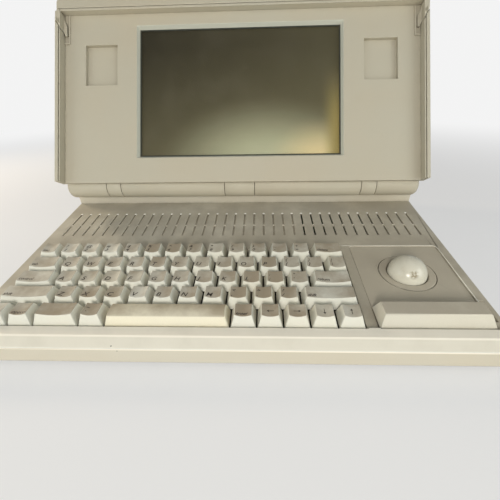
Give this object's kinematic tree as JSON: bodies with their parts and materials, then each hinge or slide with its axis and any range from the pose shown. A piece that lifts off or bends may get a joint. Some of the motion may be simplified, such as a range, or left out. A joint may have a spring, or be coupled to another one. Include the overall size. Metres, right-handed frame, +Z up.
{
  "type": "vintage portable computer",
  "caption": "Luggable computer with a hinged tilting display lid, sloping keyboard deck, trackball with click bar, carrying handle and a raised rear housing.",
  "frame": {"origin": "centre of the overall box on the table under the rubber feet, with the lid open as in the picture", "axes": "+X to the typist's right, +Y to the rear sockets, +Z up"},
  "size_m": [0.387, 0.352, 0.2598],
  "materials": {
    "case_plastic": "fine textured, yellowed warm grey",
    "key_plastic": "fine textured, lighter warm grey",
    "ball_plastic": "polished dull grey",
    "window_glass": "thin clear cover",
    "screen_film": "dark olive unlit liquid crystal panel",
    "foot_rubber": "matt",
    "board_laminate": "green laminate",
    "drive_metal": "pressed and cast sheet",
    "plate_steel": "plain plated",
    "dark_plastic": "black moulded"
  },
  "bodies": {
    "base": {"lower_case": "case_plastic", "deck_cover": "case_plastic", "rear_cover": "case_plastic", "rubber_feet": "foot_rubber", "keyboard_plate": "plate_steel", "key_switches": "dark_plastic", "trackball_housing": "case_plastic", "logic_board": "board_laminate", "drive_bracket": "drive_metal", "hard_disk": "drive_metal", "floppy_drive": "drive_metal", "power_unit": "drive_metal", "backup_battery": "dark_plastic", "speaker": "dark_plastic", "socket_panel": "plate_steel", "battery_pack": "dark_plastic", "hinge_knuckles": "case_plastic", "hinge_centre": "case_plastic", "hinge_pins": "plate_steel"},
    "lid": {"lid_shell": "case_plastic", "display_bezel": "case_plastic", "bezel_rims": "case_plastic", "screen_window": "window_glass", "screen_panel": "screen_film", "display_board": "board_laminate", "lid_barrels": "case_plastic"},
    "handle": {"handle": "case_plastic"},
    "latch_left": {"latch_left": "case_plastic"},
    "latch_right": {"latch_right": "case_plastic"},
    "trackball": {"trackball": "ball_plastic"},
    "trackball_ring": {"trackball_ring": "case_plastic"},
    "roller_across": {"roller_across": "plate_steel"},
    "roller_lengthwise": {"roller_lengthwise": "plate_steel"},
    "click_bar": {"click_bar": "case_plastic"},
    "battery_door": {"battery_door": "case_plastic"},
    "reset_button": {"reset_button": "case_plastic"},
    "interrupt_button": {"interrupt_button": "case_plastic"},
    "key_escape": {"key_escape": "key_plastic"},
    "key_delete": {"key_delete": "key_plastic"},
    "key_tab": {"key_tab": "key_plastic"},
    "key_control": {"key_control": "key_plastic"},
    "key_return": {"key_return": "key_plastic"},
    "key_shift_left": {"key_shift_left": "key_plastic"},
    "key_shift_right": {"key_shift_right": "key_plastic"},
    "key_caps_lock": {"key_caps_lock": "key_plastic"},
    "key_option": {"key_option": "key_plastic"},
    "key_command": {"key_command": "key_plastic"},
    "key_accent": {"key_accent": "key_plastic"},
    "key_space": {"key_space": "key_plastic"},
    "key_enter": {"key_enter": "key_plastic"},
    "key_arrow_left": {"key_arrow_left": "key_plastic"},
    "key_arrow_right": {"key_arrow_right": "key_plastic"},
    "key_arrow_down": {"key_arrow_down": "key_plastic"},
    "key_arrow_up": {"key_arrow_up": "key_plastic"},
    "number_keys": {"number_keys": "key_plastic"},
    "upper_letter_keys": {"upper_letter_keys": "key_plastic"},
    "home_letter_keys": {"home_letter_keys": "key_plastic"},
    "lower_letter_keys": {"lower_letter_keys": "key_plastic"}
  },
  "joints": [
    {"name": "lid_hinge", "type": "hinge", "parent": "base", "child": "lid", "pos_m": [0, 0.01265, 0.07688], "axis": [1, 0, 0], "range_deg": [-4, 125.9]},
    {"name": "handle_slide", "type": "slide", "parent": "lid", "child": "handle", "axis": [0, 0.4679, 0.8838], "range_m": [0, 0.035]},
    {"name": "latch_right_press", "type": "hinge", "parent": "lid", "child": "latch_right", "pos_m": [0.1836, 0.0696, 0.22506], "axis": [0, -0.8838, 0.4679], "range_deg": [0, 5], "stiffness_Nm_per_rad": 0.5, "springref_deg": -5.73},
    {"name": "latch_left_press", "type": "hinge", "parent": "lid", "child": "latch_left", "pos_m": [-0.1836, 0.0696, 0.22506], "axis": [0, 0.8838, -0.4679], "range_deg": [0, 5], "stiffness_Nm_per_rad": 0.5, "springref_deg": -5.73},
    {"name": "trackball_roll", "type": "hinge", "parent": "base", "child": "trackball", "pos_m": [0.146, -0.09738, 0.03133], "axis": [1, 0, 0], "continuous": true},
    {"name": "roller_across_spin", "type": "hinge", "parent": "base", "child": "roller_across", "pos_m": [0.146, -0.08099, 0.02297], "axis": [1, 0, 0], "continuous": true},
    {"name": "roller_lengthwise_spin", "type": "hinge", "parent": "base", "child": "roller_lengthwise", "pos_m": [0.16107, -0.09591, 0.02088], "axis": [0, 0.9903, 0.1392], "continuous": true},
    {"name": "ring_turn", "type": "hinge", "parent": "base", "child": "trackball_ring", "pos_m": [0.146, -0.09735, 0.03113], "axis": [0, -0.1392, 0.9903], "range_deg": [0, 30]},
    {"name": "click_bar_press", "type": "slide", "parent": "base", "child": "click_bar", "axis": [0, 0.1392, -0.9903], "range_m": [0, 0.0024], "stiffness_N_per_m": 250, "springref_m": -0.002},
    {"name": "battery_door_slide", "type": "slide", "parent": "base", "child": "battery_door", "axis": [0, 0.9987, 0.0516], "range_m": [0, 0.045]},
    {"name": "reset_press", "type": "slide", "parent": "base", "child": "reset_button", "axis": [1, 0, 0], "range_m": [0, 0.0015], "stiffness_N_per_m": 300, "springref_m": -0.001},
    {"name": "interrupt_press", "type": "slide", "parent": "base", "child": "interrupt_button", "axis": [1, 0, 0], "range_m": [0, 0.0015], "stiffness_N_per_m": 300, "springref_m": -0.001},
    {"name": "key_escape_press", "type": "slide", "parent": "base", "child": "key_escape", "axis": [0, 0.1392, -0.9903], "range_m": [0, 0.0034], "stiffness_N_per_m": 70, "springref_m": -0.004},
    {"name": "key_delete_press", "type": "slide", "parent": "base", "child": "key_delete", "axis": [0, 0.1392, -0.9903], "range_m": [0, 0.0034], "stiffness_N_per_m": 70, "springref_m": -0.004},
    {"name": "key_tab_press", "type": "slide", "parent": "base", "child": "key_tab", "axis": [0, 0.1392, -0.9903], "range_m": [0, 0.0034], "stiffness_N_per_m": 70, "springref_m": -0.004},
    {"name": "key_control_press", "type": "slide", "parent": "base", "child": "key_control", "axis": [0, 0.1392, -0.9903], "range_m": [0, 0.0034], "stiffness_N_per_m": 70, "springref_m": -0.004},
    {"name": "key_return_press", "type": "slide", "parent": "base", "child": "key_return", "axis": [0, 0.1392, -0.9903], "range_m": [0, 0.0034], "stiffness_N_per_m": 70, "springref_m": -0.004},
    {"name": "key_shift_left_press", "type": "slide", "parent": "base", "child": "key_shift_left", "axis": [0, 0.1392, -0.9903], "range_m": [0, 0.0034], "stiffness_N_per_m": 70, "springref_m": -0.004},
    {"name": "key_shift_right_press", "type": "slide", "parent": "base", "child": "key_shift_right", "axis": [0, 0.1392, -0.9903], "range_m": [0, 0.0034], "stiffness_N_per_m": 70, "springref_m": -0.004},
    {"name": "key_caps_lock_press", "type": "slide", "parent": "base", "child": "key_caps_lock", "axis": [0, 0.1392, -0.9903], "range_m": [0, 0.0034], "stiffness_N_per_m": 70, "springref_m": -0.004},
    {"name": "key_option_press", "type": "slide", "parent": "base", "child": "key_option", "axis": [0, 0.1392, -0.9903], "range_m": [0, 0.0034], "stiffness_N_per_m": 70, "springref_m": -0.004},
    {"name": "key_command_press", "type": "slide", "parent": "base", "child": "key_command", "axis": [0, 0.1392, -0.9903], "range_m": [0, 0.0034], "stiffness_N_per_m": 70, "springref_m": -0.004},
    {"name": "key_accent_press", "type": "slide", "parent": "base", "child": "key_accent", "axis": [0, 0.1392, -0.9903], "range_m": [0, 0.0034], "stiffness_N_per_m": 70, "springref_m": -0.004},
    {"name": "key_space_press", "type": "slide", "parent": "base", "child": "key_space", "axis": [0, 0.1392, -0.9903], "range_m": [0, 0.0034], "stiffness_N_per_m": 90, "springref_m": -0.004},
    {"name": "key_enter_press", "type": "slide", "parent": "base", "child": "key_enter", "axis": [0, 0.1392, -0.9903], "range_m": [0, 0.0034], "stiffness_N_per_m": 70, "springref_m": -0.004},
    {"name": "key_arrow_left_press", "type": "slide", "parent": "base", "child": "key_arrow_left", "axis": [0, 0.1392, -0.9903], "range_m": [0, 0.0034], "stiffness_N_per_m": 70, "springref_m": -0.004},
    {"name": "key_arrow_right_press", "type": "slide", "parent": "base", "child": "key_arrow_right", "axis": [0, 0.1392, -0.9903], "range_m": [0, 0.0034], "stiffness_N_per_m": 70, "springref_m": -0.004},
    {"name": "key_arrow_down_press", "type": "slide", "parent": "base", "child": "key_arrow_down", "axis": [0, 0.1392, -0.9903], "range_m": [0, 0.0034], "stiffness_N_per_m": 70, "springref_m": -0.004},
    {"name": "key_arrow_up_press", "type": "slide", "parent": "base", "child": "key_arrow_up", "axis": [0, 0.1392, -0.9903], "range_m": [0, 0.0034], "stiffness_N_per_m": 70, "springref_m": -0.004},
    {"name": "number_keys_press", "type": "slide", "parent": "base", "child": "number_keys", "axis": [0, 0.1392, -0.9903], "range_m": [0, 0.0034], "stiffness_N_per_m": 300, "springref_m": -0.004},
    {"name": "upper_letter_keys_press", "type": "slide", "parent": "base", "child": "upper_letter_keys", "axis": [0, 0.1392, -0.9903], "range_m": [0, 0.0034], "stiffness_N_per_m": 300, "springref_m": -0.004},
    {"name": "home_letter_keys_press", "type": "slide", "parent": "base", "child": "home_letter_keys", "axis": [0, 0.1392, -0.9903], "range_m": [0, 0.0034], "stiffness_N_per_m": 300, "springref_m": -0.004},
    {"name": "lower_letter_keys_press", "type": "slide", "parent": "base", "child": "lower_letter_keys", "axis": [0, 0.1392, -0.9903], "range_m": [0, 0.0034], "stiffness_N_per_m": 300, "springref_m": -0.004}
  ],
  "couplings": [
    {"joint": "roller_across_spin", "follows": "trackball_roll", "ratio": -6.3}
  ]
}
